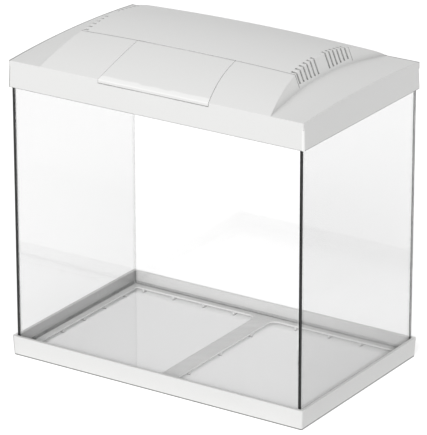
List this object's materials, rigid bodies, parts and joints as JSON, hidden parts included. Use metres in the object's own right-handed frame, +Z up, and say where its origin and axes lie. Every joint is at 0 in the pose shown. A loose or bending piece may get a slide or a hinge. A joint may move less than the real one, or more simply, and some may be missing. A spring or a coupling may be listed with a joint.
{
  "type": "glass aquarium",
  "caption": "Rectangular glass aquarium on a moulded base frame, with a lift-off curved hood that has a hinged feeding flap, air vents and an enclosed lamp.",
  "frame": {"origin": "centre of the footprint, on the plane the base frame stands on", "axes": "+X along the front to the right, +Y from the front to the back, +Z up"},
  "size_m": [0.402, 0.2548, 0.4023],
  "materials": {
    "base_plastic": "white moulded plastic, soft sheen",
    "hood_plastic": "white moulded plastic, fine satin grain",
    "flap_plastic": "white moulded plastic, fine satin grain",
    "tray_plastic": "white moulded plastic, satin",
    "pane_glass": "clear float glass with ground edges",
    "silicone": "cured silicone sealant",
    "steel": "zinc-plated steel",
    "sheet_aluminium": "bright rolled sheet",
    "cap_aluminium": "satin",
    "pin_brass": "bright brass",
    "tube_glass": "phosphor-coated glass tube, opal white",
    "gasket_rubber": "foam rubber",
    "holder_plastic": "black moulded plastic",
    "ballast_plastic": "dark grey moulded plastic",
    "clear_sheet": "clear acrylic sheet"
  },
  "bodies": {
    "tank": {"base_frame": "base_plastic", "bottom_pane": "pane_glass", "front_pane": "pane_glass", "back_pane": "pane_glass", "left_pane": "pane_glass", "right_pane": "pane_glass", "corner_seals": "silicone", "bottom_seal": "silicone"},
    "hood": {"hood_shell": "hood_plastic", "lamp_tray": "tray_plastic", "reflector": "sheet_aluminium", "lamp_tube": "tube_glass", "lamp_end_caps": "cap_aluminium", "lamp_pins": "pin_brass", "left_lamp_holder": "holder_plastic", "right_lamp_holder": "holder_plastic", "cover_gasket": "gasket_rubber", "splash_cover": "clear_sheet", "cover_screws": "steel", "tray_screws": "steel", "ballast": "ballast_plastic", "ballast_screws": "steel"},
    "flap": {"feeding_flap": "flap_plastic", "flap_hinge_pins": "steel"}
  },
  "joints": [
    {"name": "hood_lift", "type": "slide", "parent": "tank", "child": "hood", "axis": [0, 0, 1], "range_m": [0, 0.08]},
    {"name": "flap_hinge", "type": "hinge", "parent": "hood", "child": "flap", "pos_m": [0, -0.0592, 0.3921], "axis": [-1, 0, 0], "range_deg": [0, 100]}
  ]
}
